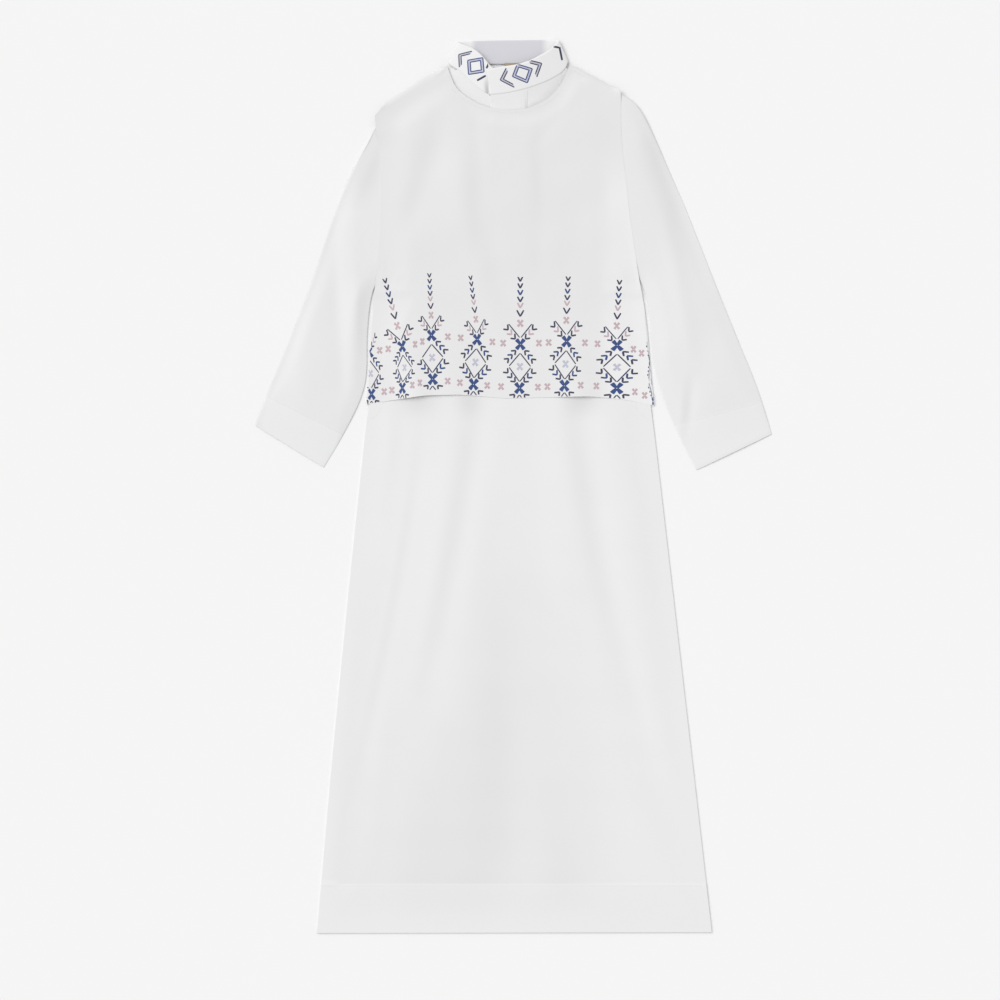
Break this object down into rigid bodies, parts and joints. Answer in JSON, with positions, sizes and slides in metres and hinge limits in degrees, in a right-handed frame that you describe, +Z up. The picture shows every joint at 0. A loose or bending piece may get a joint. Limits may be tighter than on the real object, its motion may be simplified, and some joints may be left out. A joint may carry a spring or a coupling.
{
  "type": "thobe",
  "caption": "Child's long white thobe laid flat, with a stand collar, a half placket, long sleeves and a cropped sleeveless overlay with a geometric border.",
  "frame": {"origin": "on the surface the garment lies on, under the middle of its bounding box", "axes": "+X to the wearer's left as it lies face up, +Y from the hem to the collar, +Z up out of the front"},
  "size_m": [0.602, 1.0401, 0.0181],
  "materials": {
    "robe_cloth": "smooth white woven polyester and cotton dress cloth, matt with a faint sheen",
    "overlay_cloth": "smooth white woven dress cloth, matt with a faint sheen",
    "label_tape": "plain beige woven label tape",
    "navy_thread": "navy and slate embroidery thread",
    "blue_thread": "royal blue embroidery thread",
    "pink_thread": "dusty pink embroidery thread",
    "lavender_thread": "pale lavender embroidery thread"
  },
  "bodies": {
    "root": {"overlay_back": "overlay_cloth", "thobe_back": "robe_cloth", "thobe_front": "robe_cloth", "placket": "robe_cloth", "sleeve_left": "robe_cloth", "sleeve_right": "robe_cloth", "overlay_front": "overlay_cloth", "collar": "robe_cloth", "neck_label": "label_tape"}
  },
  "joints": []
}
